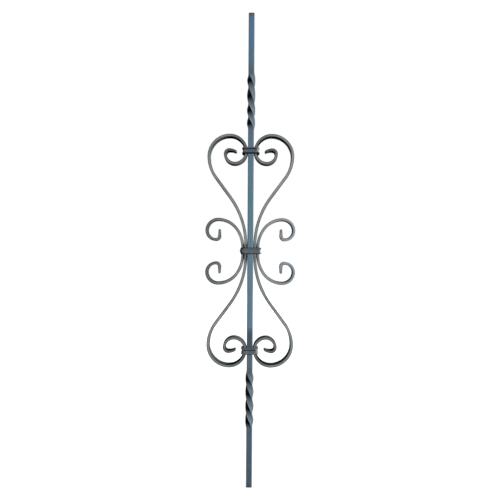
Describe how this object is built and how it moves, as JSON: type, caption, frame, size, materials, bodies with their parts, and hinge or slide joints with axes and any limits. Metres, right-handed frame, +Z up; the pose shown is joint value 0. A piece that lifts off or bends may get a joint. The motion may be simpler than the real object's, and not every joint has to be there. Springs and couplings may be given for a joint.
{
  "type": "stair baluster",
  "caption": "Upright iron stair baluster: square bar with twisted stretches, heart scrolls and C-scrolls of flat bar, bound by ridged collars.",
  "frame": {"origin": "centre of the bar's lower end face", "axes": "+Z up along the bar, +X to the right in the plane of the scrolls, -Y towards the front; the collars' seams are at the back, +Y"},
  "size_m": [0.1796, 0.0206, 0.95],
  "materials": {
    "bar_steel": "bare, blue-grey mill scale",
    "scroll_steel": "bare, neutral grey with rolled, rounded edges",
    "collar_steel": "bare, dark grey, worn bright on the ridges"
  },
  "bodies": {
    "root": {"square_bar": "bar_steel", "left_heart_scroll": "scroll_steel", "right_heart_scroll": "scroll_steel", "left_c_scroll": "scroll_steel", "right_c_scroll": "scroll_steel", "upper_collar": "collar_steel", "middle_collar": "collar_steel", "lower_collar": "collar_steel"}
  },
  "joints": []
}
